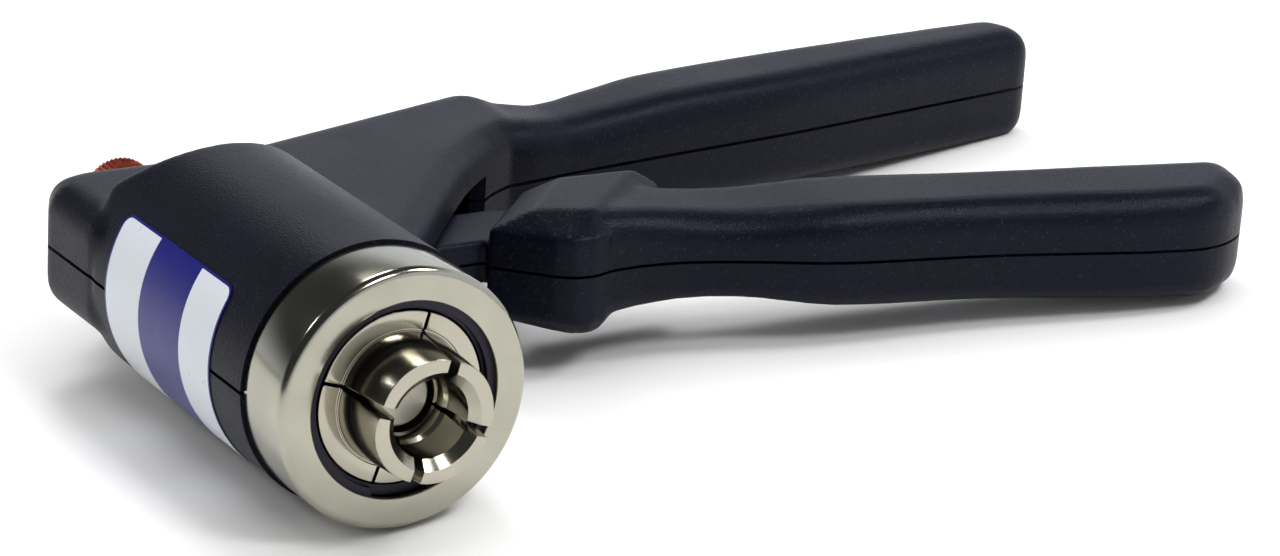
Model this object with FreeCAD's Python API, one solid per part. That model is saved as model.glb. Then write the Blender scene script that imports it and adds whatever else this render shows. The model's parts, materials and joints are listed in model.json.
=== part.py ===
import FreeCAD, Part
import math
import os
from FreeCAD import Placement, Rotation, Vector

# Hand-held vial decapper: a round head that takes a crimped vial cap between four
# tilting jaws, a rigid handle that is one with the head's casing, and a lever
# handle whose inner arm drives a plunger through the head.
#
# Frame, in millimetres: Y runs along the head's axis with the mouth towards -Y,
# X points along the handles and Z is square to the plane in which the lever swings.
# The origin is the centre of the mouth's bore, where its parallel wall begins.
# The part is at rest: lever out on its stop, jaws tilted open.

# Mouth and jaws
MOUTH_R = 6.0            # bore of the open jaws, for an 11 mm crimp cap
MOUTH_LEN = 6.0          # parallel length of the bore
MOUTH_LEAD_R = 7.3       # wide end of the lead-in chamfer
MOUTH_LEAD = 1.3         # depth of the lead-in chamfer
LIP_R = 5.2              # catching lip behind the bore
LIP_LEN = 1.7            # length of the lip
LIP_RAMP = 0.8           # ramp from bore to lip
JAW_COUNT = 4
JAW_FIRST = 27.0         # angle of the first jaw from +X towards +Z, degrees
JAW_TILT = 4.4           # tilt between shut and open, degrees
JAW_NOSE_R = 8.5         # nose radius at its tip, jaws shut
JAW_ROOT_R = 9.85        # nose radius at the flange, jaws shut
JAW_NOSE_LEN = 10.1      # nose, from tip to flange
JAW_FLANGE_R = 13.0
JAW_FLANGE_T = 2.35
JAW_TAIL_R = 8.6
JAW_TAIL_BORE_R = 5.0
JAW_TAIL_LEN = 15.6
JAW_KERF = 0.15          # saw cut between noses, jaws shut
JAW_TAIL_KERF = 1.9      # wider cut between tails, which close as the jaws open
FULCRUM_R = 11.0         # radius of the line on which each jaw rocks
FULCRUM_BACK = 3.55      # fulcrum line behind the flange's front

# Front ring, jaw carrier and their snap ring
RING_Y = 7.6             # front face of the ring
RING_LEN = 11.5
RING_R = 20.0
RING_BORE_R = 15.05
RING_EDGE = 1.1          # rounding of the ring's front edge
RING_STEP_R = 13.2       # smaller bore behind the carrier
SPIGOT_R = 16.6          # neck of the ring inside the casing
SPIGOT_LEN = 11.0
SPIGOT_GROOVE_R = 15.2
SPIGOT_GROOVE_Y = 3.9    # groove behind the ring's rear face
SPIGOT_GROOVE_W = 3.5
CARRIER_Y = 9.3          # front of the carrier's rim
CARRIER_LEN = 7.8
CARRIER_RIM_R = 13.45    # bore of the rim round the jaw flanges
CARRIER_HOLE_R = 9.1     # hole for the jaw tails
CARRIER_FLOOR = 3.0
SNAP_T = 0.8
SNAP_IN_R = 13.9
SNAP_OUT_R = 16.0
SNAP_MOUTH = 9.0         # opening between the snap ring's ends
GARTER_WIRE_R = 0.9

# Casing: head barrel, rear block, web and rigid handle
BODY_R = 20.5
BODY_END = 67.6          # where the barrel's rear slope begins
BODY_SLOPE = 10.0        # run of the rear slope down to the block
WALL = 2.6
BLOCK_H = 10.3           # half height of the block and web
BLOCK_REAR = 93.9
SEAM = 0.2               # each shell stops this far from the middle plane
CHAMBER_H = 7.2          # half height of the lever arm's chamber
SLOT_H = 4.2             # half height of the lever's slot

# Lever
PIVOT_X = 18.0
PIVOT_Y = 71.6
PIVOT_R = 3.0
PIVOT_LEN = 18.6
LEVER_SWING = 18.0       # full squeeze, degrees
HUB_R = 7.3
HUB_H = 6.1
BUSH_WALL = 1.2
WASHER_T = 0.8
CORE_T = 3.0
NECK_H = 3.6
ARM_H = 5.0
FORK_H = 2.15
ROLLER_R = 4.2
ROLLER_T = 4.0
ROLLER_PIN_R = 1.5
GRIP_ANGLE = -16.5       # lever handle's direction in the swing plane, degrees
GRIP_X = 121.2
GRIP_Y = 36.5
BLOCK_FLAT_H = 9.3       # half height of the lever block's flat facets
BLOCK_SHOULDER_H = 4.8   # half height at which its sloped shoulders begin

# Plunger
PLUNGER_FACE_Y = 9.1
PLUNGER_R = 4.5
PLUNGER_HEAD_T = 1.9
PLUNGER_STEM_R = 1.5
PLUNGER_STEM_LEN = 6.0
ROD_FRONT_R = 2.4
ROD_R = 3.0
CONE_FRONT = 24.0
CONE_REAR = 36.0
GUIDE_Y = 40.0
GUIDE_LEN = 10.0
GUIDE_R = 8.0
GUIDE_FLANGE_R = 9.6
GUIDE_GROOVE_W = 4.0
SPRING_WIRE_R = 0.6
SPRING_TURNS = 5
SPRING_ROOM = 0.9        # gap between the rod and the spring's coils
ROD_CLIP_Y = 62.4
ROD_CLIP_T = 1.2
ROD_CLIP_R = 5.4
CLIP_MOUTH = 1.8         # opening of a clip in radii of its groove

# Adjusting knob and stop pin
KNOB_R = 6.2
KNOB_END = 106.6
KNOB_LEN = 11.6
KNOB_TEETH = 50
KNOB_TOOTH = 0.35
KNOB_CROWN = 4.0         # solid end of the knob behind the stop pin
KNOB_STEM_R = 3.0
KNOB_BUSH_R = 5.0
KNOB_BUSH_FLANGE_R = 7.0
KNOB_BUSH_FLANGE_T = 1.0
KNOB_CLIP_T = 0.8
STOP_PIN_R = 2.0
STOP_HEAD = 3.2          # half side of the stop pin's square head
STOP_HEAD_T = 2.8
STOP_TRAVEL = 1.6        # two turns of the knob at 0.8 mm a turn

# Screws, from below
SCREW_R = 1.5
SCREW_HEAD_R = 2.75
SCREW_HEAD_H = 2.2
SCREW_SEAT = 3.4         # head's seat above the shell's lowest plane
BOSS_R = 3.8
SOCKET_R = 1.1           # corner radius of the hexagon socket
SOCKET_DEPTH = 1.4

# Clearances
RUN = 0.05               # running fit, radial
FIT = 0.02               # seated fit, radial
FREE = 0.1               # gap between faces that only meet in use

# Label
LABEL_T = 0.12
LABEL_FROM = 144.0       # angles round the barrel, degrees
LABEL_TO = 232.0
LABEL_Y0 = 29.1
LABEL_Y1 = 65.6

# More of the inner pieces
CARRIER_BACK_R = 12.6    # clearance behind the carrier's floor
JAW_FLANGE_ROOM = 0.25   # floor behind the shut flanges
GUIDE_FLANGE_T = 2.0
RIB_T = 4.0              # casing rib that the guide bush sits in
ROD_GROOVE = 0.5
KNOB_POCKET_Y = 82.2     # clip pocket behind the stop pin's pocket
KNOB_CLIP_R = 4.6
KNOB_CLIP_DEPTH = 0.5
KNOB_CLIP_Y = 82.9
KNOB_STEM_TIP = 0.6
KNOB_BUSH_Y = 84.0
KNOB_GROOVE = 0.6
KNOB_GROOVE_Y = 87.0
KNOB_GROOVE_W = 2.0
SCREW_TIP = 5.5          # screw tips above the seam
END_EDGE = 4.5           # rounding of the handles' ends
HANDLE_END_FROM = 110.0  # handle's end rim is searched from here on
LEVER_END_FROM = 34.0    # lever's end rim is searched from here on
ROLLER_ROOM = 1.2        # fork's slot past the roller

RING_REAR = RING_Y + RING_LEN
FLANGE_Y = JAW_NOSE_LEN - 1.05
FULCRUM_Y = FLANGE_Y + FULCRUM_BACK
TAIL_END = FLANGE_Y + JAW_FLANGE_T + JAW_TAIL_LEN
BARREL_FRONT = RING_REAR + FREE
ROD_END = PIVOT_Y - ROLLER_R - RUN
ARM_BACK = PIVOT_Y + 4.8
STOP_FRONT = ARM_BACK + FREE
STROKE = PIVOT_X * math.radians(LEVER_SWING)
JAW_LIFT = (TAIL_END - FULCRUM_Y) * math.sin(math.radians(JAW_TILT))
CONE_SLOPE = JAW_LIFT / STROKE
TAIL_OPEN_R = JAW_TAIL_BORE_R - JAW_LIFT

AXIS = Vector(0, 1, 0)
UP = Vector(0, 0, 1)
FAR = 400.0


def disc(radius, y0, y1):
    """Round bar along the head's axis."""
    return Part.makeCylinder(radius, y1 - y0, Vector(0, y0, 0), AXIS)


def tube(outer, inner, y0, y1):
    return disc(outer, y0, y1).cut(disc(inner, y0 - 1, y1 + 1))


def post(x, y, radius, z0, z1):
    """Round bar square to the swing plane."""
    return Part.makeCylinder(radius, z1 - z0, Vector(x, y, z0), UP)


def box(x0, x1, y0, y1, z0, z1):
    return Part.makeBox(x1 - x0, y1 - y0, z1 - z0, Vector(x0, y0, z0))


def turned(profile):
    """Solid turned about the head's axis from (y, radius) points."""
    points = [Vector(radius, y, 0) for y, radius in profile]
    face = Part.Face(Part.makePolygon(points + points[:1]))
    return face.revolve(Vector(0, 0, 0), AXIS, 360)


def rounded(corners):
    """Closed outline through (x, y, corner radius) points, as lines and arcs."""
    points = [Vector(x, y, 0) for x, y, _ in corners]
    marks = []
    for i, (_, _, radius) in enumerate(corners):
        here = points[i]
        back = (points[i - 1] - here).normalize()
        ahead = (points[(i + 1) % len(points)] - here).normalize()
        half = back.getAngle(ahead) / 2
        if radius <= 0 or half > math.radians(89.9):
            marks.append((here, None, here))
            continue
        run = radius / math.tan(half)
        inward = (back + ahead).normalize()
        middle = here + inward * (radius / math.sin(half) - radius)
        marks.append((here + back * run, middle, here + ahead * run))
    edges = []
    for i, (start, middle, end) in enumerate(marks):
        if middle is not None:
            edges.append(Part.Arc(start, middle, end).toShape())
        following = marks[(i + 1) % len(marks)][0]
        if (following - end).Length > 1e-6:
            edges.append(Part.LineSegment(end, following).toShape())
    return Part.Face(Part.Wire(edges))


def closed(outline, z):
    """Closed run of points through a flat outline at one height."""
    points = [Vector(x, y, z) for x, y in outline]
    return points + points[:1]


def slab(face, half):
    """Outline given a thickness of half on each side of the middle plane."""
    solid = face.extrude(Vector(0, 0, 2 * half))
    solid.translate(Vector(0, 0, -half))
    return solid


def rims(solid, half):
    """Edges that bound the flat top and bottom of a slab."""
    return [e for e in solid.Edges
            if e.BoundBox.ZMin > half - 0.01 or e.BoundBox.ZMax < -half + 0.01]


def section(origin, along, near, far, half, shoulder):
    """Handle cross-section: flat top and bottom, straight sides, round shoulders."""
    r = shoulder
    k = r * (1 - math.sqrt(0.5))
    side = Vector(-along.y, along.x, 0)

    def at(n, z):
        return origin + side * n + Vector(0, 0, z)
    loop = [at(-near, half - r), at(-near + k, half - k), at(-near + r, half),
            at(far - r, half), at(far - k, half - k), at(far, half - r),
            at(far, r - half), at(far - k, k - half), at(far - r, -half),
            at(r - near, -half), at(k - near, k - half), at(-near, r - half)]
    edges = []
    for i in (0, 3, 6, 9):
        edges.append(Part.Arc(loop[i], loop[i + 1], loop[i + 2]).toShape())
        edges.append(Part.LineSegment(loop[i + 2], loop[(i + 3) % 12]).toShape())
    return Part.Wire(edges)


def grip(stations, origin, angle, inset=0.0):
    """Handle lofted through (distance, near, far, half height, shoulder) stations."""
    along = Vector(math.cos(math.radians(angle)), math.sin(math.radians(angle)), 0)
    wires = []
    for s, near, far, half, shoulder in stations:
        wires.append(section(origin + along * s, along, near - inset, far - inset,
                             half - inset, shoulder - 0.6 * inset))
    return Part.makeLoft(wires, True, False)


def round_end(solid, outline, origin, angle, start, radius):
    """Cut a handle to its end outline and round the cut all the way round."""
    plan = rounded(outline)
    plan.Placement = Placement(origin, Rotation(UP, angle))
    solid = solid.common(slab(plan, 2 * BLOCK_H))
    along = Vector(math.cos(math.radians(angle)), math.sin(math.radians(angle)), 0)

    def is_end(face):
        u0, u1, v0, v1 = face.ParameterRange
        upright = abs(face.normalAt((u0 + u1) / 2, (v0 + v1) / 2).z) < 1e-6
        return upright and (face.CenterOfMass - origin).dot(along) > start
    ends = [is_end(face) for face in solid.Faces]
    rim = []
    for edge in solid.Edges:
        owners = [i for i, face in enumerate(solid.Faces) if any(e.isSame(edge) for e in face.Edges)]
        if len(owners) == 2 and ends[owners[0]] != ends[owners[1]]:
            rim.append(edge)
    return solid.makeFillet(radius, rim)


def shell_half(solid, top):
    """The part of a solid above or below the seam."""
    keep = box(-FAR, FAR, -FAR, FAR, SEAM, FAR) if top else box(-FAR, FAR, -FAR, FAR, -FAR, -SEAM)
    return solid.common(keep)


def one_solid(shape):
    """The single solid of a boolean result."""
    solids = sorted(shape.Solids, key=lambda s: s.Volume)
    return solids[-1]


parts = {}

# Casing: one form, split at the seam and hollowed from inside

BLOCK_OUTLINE = [(-20.6, 66.2, 0), (-20.6, BLOCK_REAR, 7.5), (12, BLOCK_REAR, 16), (62.0, 109.6, 7),
                 (67.5, 105.0, 7), (67.5, 88.6, 0.5), (58.5, 86.0, 12), (50.6, 81.8, 4), (22.5, 46.6, 0),
                 (0, 46.6, 0), (0, 66.2, 0)]
BLOCK_EDGE = 6.0
HANDLE_X = 60.0
HANDLE_Y = 96.3
HANDLE_ANGLE = 6.9
FIXED_STATIONS = [(-3, 10.0, 11.0, 10.0, 5.0), (6, 10.0, 9.5, 9.7, 4.5), (14, 9.6, 6.3, 8.8, 4.5),
                  (24, 9.6, 7.0, 9.3, 4.5), (38, 9.6, 8.5, 10.1, 5.0), (62, 10.0, 8.4, 10.3, 5.2),
                  (92, 9.3, 6.4, 10.5, 5.2), (120, 8.5, 5.2, 10.4, 5.0), (130, 8.2, 5.0, 10.3, 5.0)]
HANDLE_END = [(-20, -30, 0), (119, -30, 0), (122.0, -8.8, 4), (124.8, 7.5, 13), (96, 12, 0),
              (96, 30, 0), (-20, 30, 0)]
BODY_SCREWS = [(-11.5, 84.0), (41.0, 92.6), (92.0, 99.4), (158.0, 106.2)]
CHAMBER = [(-8, 59, 2), (22, 59, 2), (30, 68, 4), (27.5, 81, 4), (8.5, 81, 2), (8.5, 77.6, 1),
           (-8, 77.6, 2)]
SLOT = [(14, 56, 2), (18, 40, 0), (33, 40, 0), (62, 84, 0), (59.5, 88.2, 3), (52, 87.4, 3),
        (27, 79, 3), (14, 79, 2)]
RIB_OUTLINE = [(-BODY_R, GUIDE_Y + GUIDE_FLANGE_T + RUN, 0), (BODY_R, GUIDE_Y + GUIDE_FLANGE_T + RUN, 0),
               (BODY_R, GUIDE_Y + GUIDE_FLANGE_T + RIB_T - RUN, 0),
               (-BODY_R, GUIDE_Y + GUIDE_FLANGE_T + RIB_T - RUN, 0)]
FIXED_HOLLOW = [(8, 10.0, 8.5, 9.4, 4.5), (14, 9.6, 6.3, 8.8, 4.5), (24, 9.6, 7.0, 9.3, 4.5),
                (38, 9.6, 8.5, 10.1, 5.0), (62, 10.0, 8.4, 10.3, 5.2), (92, 9.3, 6.4, 10.5, 5.2),
                (115, 8.5, 4.4, 10.4, 5.0)]
CORE_OUTLINE = [(14, 66.5, 2), (24, 65.0, 3), (33.0, 57.2, 3), (50, 54.2, 8), (104, 38.6, 3),
                (106.4, 46.6, 3), (62, 61.0, 8), (40, 66.4, 6), (25, 76.5, 3), (14, 77, 2)]
ARM_OUTLINE = [(-4.6, 68.6, 3), (14, 67.2, 2), (20, 71, 1), (14, 76.4, 2), (-4.6, 76.4, 3)]
NECK_OUTLINE = [(27.5, 54.7, 1), (52, 54.7, 0), (52, 66.5, 0), (48, 68.6, 0), (27.5, 68.6, 1)]
LEVER_BLOCK = [(38.7, 52.8), (48.4, 43.3), (52.6, 43.2), (76.0, 62.4), (52.4, 66.9)]
UPPER_FACET = [(45.5, 51.2), (52.6, 47.8), (54.8, 47.4), (71.2, 62.8), (57.6, 63.6)]
LOWER_FACET = [(46.6, 55.2), (51.2, 45.6), (53.8, 44.4), (71.2, 61.4), (57.6, 63.6)]
LEVER_STATIONS = [(-67, 9.2, 9.6, 9.4, 4.0), (-60, 8.8, 9.8, 8.0, 4.2), (-52, 8.3, 10.2, 7.0, 4.5),
                  (-42, 9.2, 10.4, 7.3, 4.8), (-26, 11.2, 10.5, 8.6, 5.2), (0, 10.0, 10.5, 8.8, 5.2),
                  (26, 10.7, 10.5, 9.3, 5.2), (42, 10.0, 10.4, 9.8, 5.2), (54, 9.0, 10.2, 9.9, 5.2)]
LEVER_HOLLOW = [(-56, 8.8, 9.9, 7.6, 4.2), (-42, 9.2, 10.4, 7.3, 4.8), (-26, 11.2, 10.5, 8.6, 5.2),
                (0, 10.0, 10.5, 8.8, 5.2), (26, 10.7, 10.5, 9.3, 5.2), (34, 9.6, 10.4, 9.4, 5.2)]
LEVER_END = [(-90, -30, 0), (36, -30, 0), (38.6, -10.4, 9), (47.4, 3.0, 9), (47.6, 10.8, 4),
             (43, 30, 0), (-90, 30, 0)]
LEVER_SCREWS = [(57.5, 54.8), (100.0, 42.3), (146.0, 29.2)]

barrel = disc(BODY_R, BARREL_FRONT, BODY_END + BODY_SLOPE)
rear_slope = Part.Face(Part.makePolygon([
    Vector(0, BODY_END, BODY_R + 1), Vector(0, BODY_END, BODY_R),
    Vector(0, BODY_END + 0.3 * BODY_SLOPE, BODY_R - 2.6), Vector(0, BODY_END + BODY_SLOPE, BLOCK_H - 1),
    Vector(0, BODY_END + BODY_SLOPE + 1, BLOCK_H - 1), Vector(0, BODY_END + BODY_SLOPE + 1, BODY_R + 1),
    Vector(0, BODY_END, BODY_R + 1)]))
rear_cut = rear_slope.extrude(Vector(4 * BODY_R, 0, 0))
rear_cut.translate(Vector(-2 * BODY_R, 0, 0))
barrel = barrel.cut(rear_cut).cut(rear_cut.mirror(Vector(0, 0, 0), UP))

block = slab(rounded(BLOCK_OUTLINE), BLOCK_H)
block = block.makeFillet(BLOCK_EDGE, rims(block, BLOCK_H))
handle_origin = Vector(HANDLE_X, HANDLE_Y, 0)
handle = grip(FIXED_STATIONS, handle_origin, HANDLE_ANGLE)
handle = round_end(handle, HANDLE_END, handle_origin, HANDLE_ANGLE, HANDLE_END_FROM, END_EDGE)
casing = barrel.fuse(block).fuse(handle)

# Inside of the casing
hollow = disc(BODY_R - WALL, RING_REAR + SPIGOT_GROOVE_Y + SPIGOT_GROOVE_W, BODY_END - WALL)
hollow = hollow.cut(slab(rounded(RIB_OUTLINE), BODY_R))
hollow = hollow.fuse(disc(SPIGOT_R + FREE, 0, RING_REAR + SPIGOT_GROOVE_Y + 0.1))
hollow = hollow.fuse(disc(SPIGOT_GROOVE_R + FREE, 0, 2 * RING_REAR))
hollow = hollow.fuse(disc(GUIDE_R + FIT, GUIDE_Y - 5, GUIDE_Y + GUIDE_LEN + 10))
hollow = hollow.fuse(slab(rounded(CHAMBER), CHAMBER_H)).fuse(slab(rounded(SLOT), SLOT_H))
stop_pocket = STOP_HEAD + FREE
hollow = hollow.fuse(box(-stop_pocket, stop_pocket, STOP_FRONT, KNOB_POCKET_Y + 0.1,
                         -stop_pocket, stop_pocket))
hollow = hollow.fuse(disc(KNOB_CLIP_R + FREE, KNOB_POCKET_Y, KNOB_BUSH_Y))
hollow = hollow.fuse(disc(KNOB_BUSH_R + FIT, KNOB_BUSH_Y - 0.1, KNOB_GROOVE_Y + FREE))
hollow = hollow.fuse(disc(KNOB_BUSH_R - KNOB_GROOVE + FIT, KNOB_BUSH_Y, BLOCK_REAR))
hollow = hollow.fuse(disc(KNOB_BUSH_R + FIT, KNOB_GROOVE_Y + KNOB_GROOVE_W - FREE, BLOCK_REAR + 10))
hollow = hollow.fuse(post(PIVOT_X, PIVOT_Y, PIVOT_R + FIT, -PIVOT_LEN / 2 - FREE, PIVOT_LEN / 2 + FREE))
cavity = grip(FIXED_HOLLOW, handle_origin, HANDLE_ANGLE, WALL)

posts = []
drills = []
for x, y in BODY_SCREWS:
    posts.append(post(x, y, BOSS_R, -BLOCK_H, BLOCK_H))
    drills.append(post(x, y, SCREW_R + RUN, -BLOCK_H - 5, SCREW_TIP + FREE))
    drills.append(post(x, y, SCREW_HEAD_R + FREE, -BLOCK_H - 5, SCREW_SEAT - BLOCK_H))
filled = casing.cut(cavity)
for boss in posts:
    filled = filled.fuse(boss.common(casing))
filled = filled.cut(hollow)
for drill in drills:
    filled = filled.cut(drill)
parts["upper_body_shell"] = one_solid(shell_half(filled, True))
parts["lower_body_shell"] = one_solid(shell_half(filled, False))


def screws(places, seat, tip):
    """Button-head screws driven from below; they share one node."""
    bodies = []
    for x, y in places:
        head = post(x, y, SCREW_HEAD_R, seat - SCREW_HEAD_H, seat)
        head = head.makeFillet(SCREW_HEAD_H / 3, [e for e in head.Edges if e.BoundBox.ZMax < seat - 1])
        hexagon = [Vector(x + SOCKET_R * math.cos(a), y + SOCKET_R * math.sin(a), seat - SCREW_HEAD_H)
                   for a in [math.pi / 3 * k for k in range(6)]]
        socket = Part.Face(Part.makePolygon(hexagon + hexagon[:1])).extrude(Vector(0, 0, SOCKET_DEPTH))
        bodies.append(head.fuse(post(x, y, SCREW_R, seat - 0.1, tip)).cut(socket).removeSplitter())
    return Part.makeCompound(bodies)


parts["body_screws"] = screws(BODY_SCREWS, SCREW_SEAT - BLOCK_H, SCREW_TIP)

# Front ring: a turned and plated ring that closes the head and holds the jaws
ring = disc(RING_R, RING_Y, RING_REAR).fuse(disc(SPIGOT_R, RING_REAR - 1, RING_REAR + SPIGOT_LEN))
ring = ring.removeSplitter()
edge = [e for e in ring.Edges if e.BoundBox.YMax < RING_Y + 0.01]
ring = ring.makeFillet(RING_EDGE, edge)
ring = ring.cut(disc(RING_BORE_R, 0, CARRIER_Y + CARRIER_LEN)).cut(disc(RING_STEP_R, 0, 2 * RING_REAR))
groove_y = RING_REAR + SPIGOT_GROOVE_Y
ring = ring.cut(tube(SPIGOT_R + 5, SPIGOT_GROOVE_R, groove_y, groove_y + SPIGOT_GROOVE_W))
ring = ring.cut(disc(SNAP_OUT_R + FIT, CARRIER_Y - SNAP_T - FIT, CARRIER_Y))
parts["front_ring"] = ring

# Snap ring: flat spring ring, open at the bottom, in a groove in front of the carrier
snap = tube(SNAP_OUT_R, SNAP_IN_R, CARRIER_Y - SNAP_T, CARRIER_Y)
snap = snap.cut(box(-SNAP_MOUTH / 2, SNAP_MOUTH / 2, 0, RING_REAR, -RING_R, 0))
parts["carrier_snap_ring"] = snap

# Jaw carrier: cup whose floor holds the jaw flanges from behind
floor_y = FLANGE_Y + JAW_FLANGE_T + JAW_FLANGE_ROOM
carrier = disc(RING_BORE_R - RUN, CARRIER_Y + FIT, CARRIER_Y + CARRIER_LEN)
carrier = carrier.cut(disc(CARRIER_RIM_R, 0, floor_y)).cut(disc(CARRIER_HOLE_R, 0, 2 * RING_REAR))
carrier = carrier.cut(disc(CARRIER_BACK_R, floor_y + CARRIER_FLOOR, 2 * RING_REAR))
parts["jaw_carrier"] = carrier


def jaw_blank():
    """One shut jaw about +X: nose, flange and tail, a quarter of the turned form."""
    tip = FLANGE_Y - JAW_NOSE_LEN
    root = FLANGE_Y + JAW_FLANGE_T
    solid = turned([(tip, MOUTH_R - 2), (tip, JAW_NOSE_R), (FLANGE_Y, JAW_ROOT_R), (FLANGE_Y, JAW_FLANGE_R),
                    (root, JAW_FLANGE_R), (root, JAW_TAIL_R), (TAIL_END, JAW_TAIL_R),
                    (TAIL_END, JAW_TAIL_BORE_R), (FLANGE_Y - 0.6, JAW_TAIL_BORE_R),
                    (FLANGE_Y - 0.6, MOUTH_R - 2)])
    reach = 2 * JAW_FLANGE_R
    for kerf, y0, y1 in ((JAW_KERF, tip - 1, root), (JAW_TAIL_KERF, root, TAIL_END + 1)):
        inner = kerf / math.sqrt(2)
        for side in (1, -1):
            waste = Part.Face(Part.makePolygon([
                Vector(inner, y0, 0), Vector(inner + reach, y0, side * reach),
                Vector(-reach, y0, side * reach), Vector(-reach, y0, 0), Vector(inner, y0, 0)]))
            solid = solid.cut(waste.extrude(Vector(0, y1 - y0, 0)))
    return one_solid(solid)


# The mouth is bored with the jaws at rest, so that the open bore is a true round
mouth = turned([(-MOUTH_LEAD * 3, 0), (-MOUTH_LEAD * 3, MOUTH_LEAD_R + 2 * MOUTH_LEAD), (0, MOUTH_R),
                (MOUTH_LEN, MOUTH_R), (MOUTH_LEN + LIP_RAMP, LIP_R), (MOUTH_LEN + LIP_LEN + 1, LIP_R),
                (MOUTH_LEN + LIP_LEN + 1, 0)])
blank = jaw_blank()
fulcrum = Vector(FULCRUM_R, FULCRUM_Y, 0)
blank.rotate(fulcrum, UP, JAW_TILT)
for k in range(JAW_COUNT):
    jaw = blank.copy()
    jaw.rotate(Vector(0, 0, 0), AXIS, -(JAW_FIRST + 360.0 * k / JAW_COUNT))
    parts["jaw_%d" % (k + 1)] = one_solid(jaw.cut(mouth))

# Garter spring: closed ring round the tails, which pulls them in and opens the noses
garter_y = FLANGE_Y + JAW_FLANGE_T + 0.72 * JAW_TAIL_LEN
garter_lift = (garter_y - FULCRUM_Y) * math.sin(math.radians(JAW_TILT)) * math.cos(math.pi / JAW_COUNT)
garter_r = JAW_TAIL_R - garter_lift + GARTER_WIRE_R + FREE
parts["jaw_garter_spring"] = Part.makeTorus(garter_r, GARTER_WIRE_R, Vector(0, garter_y, 0), AXIS)

# Plunger: face, rod, spreading cone and the clip that takes the return spring
stem_end = PLUNGER_FACE_Y + PLUNGER_STEM_LEN
face_back = PLUNGER_FACE_Y + PLUNGER_HEAD_T
plunger_head = disc(PLUNGER_R, PLUNGER_FACE_Y, face_back)
plunger_head = plunger_head.makeChamfer(0.3, [e for e in plunger_head.Edges
                                              if e.BoundBox.YMax < PLUNGER_FACE_Y + 0.01])
parts["plunger_head"] = plunger_head.fuse(disc(PLUNGER_STEM_R, face_back, stem_end)).removeSplitter()
rod = disc(ROD_FRONT_R, face_back, CONE_REAR).fuse(disc(ROD_R, CONE_REAR, ROD_END)).removeSplitter()
rod = rod.cut(disc(PLUNGER_STEM_R + FIT, face_back - 1, stem_end + 0.5))
rod = rod.cut(tube(ROD_R + 2, ROD_R - ROD_GROOVE, ROD_CLIP_Y, ROD_CLIP_Y + ROD_CLIP_T))
parts["push_rod"] = rod


def cone_r(y):
    """Radius of the spreading cone at rest, which just meets the tails' ends."""
    return TAIL_OPEN_R - FREE + CONE_SLOPE * (y - TAIL_END)


parts["spreading_cone"] = turned([(CONE_FRONT, ROD_FRONT_R + FIT), (CONE_FRONT, cone_r(CONE_FRONT)),
                                  (CONE_REAR - 1, cone_r(CONE_REAR - 1)), (CONE_REAR, cone_r(CONE_REAR - 1)),
                                  (CONE_REAR, ROD_FRONT_R + FIT)])
clip = tube(ROD_CLIP_R, ROD_R - ROD_GROOVE, ROD_CLIP_Y, ROD_CLIP_Y + ROD_CLIP_T)
gap = CLIP_MOUTH * (ROD_R - ROD_GROOVE)
parts["rod_spring_clip"] = clip.cut(box(-gap / 2, gap / 2, 0, ROD_END, -ROD_CLIP_R - 1, 0))

guide = disc(GUIDE_R, GUIDE_Y, GUIDE_Y + GUIDE_LEN)
guide = guide.fuse(disc(GUIDE_FLANGE_R, GUIDE_Y, GUIDE_Y + GUIDE_FLANGE_T))
guide = guide.fuse(disc(GUIDE_FLANGE_R, GUIDE_Y + GUIDE_FLANGE_T + RIB_T, GUIDE_Y + 2 * GUIDE_FLANGE_T + RIB_T))
parts["plunger_guide_bush"] = guide.removeSplitter().cut(disc(ROD_R + RUN, 0, ROD_END))

spring_y0 = GUIDE_Y + GUIDE_LEN + SPRING_WIRE_R + FREE / 2
spring_y1 = ROD_CLIP_Y - SPRING_WIRE_R - FREE / 2
spring_r = ROD_R + SPRING_ROOM + SPRING_WIRE_R
helix = Part.makeHelix((spring_y1 - spring_y0) / SPRING_TURNS, spring_y1 - spring_y0, spring_r)
start = Part.Wire(Part.makeCircle(SPRING_WIRE_R, Vector(spring_r, 0, 0), Vector(0, 1, 0)))
spring = Part.Wire(helix).makePipeShell([start], True, True)
spring.rotate(Vector(0, 0, 0), Vector(1, 0, 0), -90)
spring.translate(Vector(0, spring_y0, 0))
parts["return_spring"] = Part.Solid(spring) if spring.ShapeType != "Solid" else spring

# Lever: a steel core from the roller fork through the pivot into the handle
parts["pivot_pin"] = post(PIVOT_X, PIVOT_Y, PIVOT_R, -PIVOT_LEN / 2, PIVOT_LEN / 2)
bush_r = PIVOT_R + BUSH_WALL
bush = post(PIVOT_X, PIVOT_Y, bush_r, -HUB_H, HUB_H)
parts["pivot_bush"] = bush.cut(post(PIVOT_X, PIVOT_Y, PIVOT_R + RUN, -FAR, FAR))
washers = []
for side in (1, -1):
    z = side * (HUB_H + FREE + WASHER_T / 2)
    ring_blank = post(PIVOT_X, PIVOT_Y, HUB_R - 0.5, z - WASHER_T / 2, z + WASHER_T / 2)
    washers.append(ring_blank.cut(post(PIVOT_X, PIVOT_Y, PIVOT_R + RUN, -FAR, FAR)))
parts["pivot_washers"] = Part.makeCompound(washers)

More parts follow.
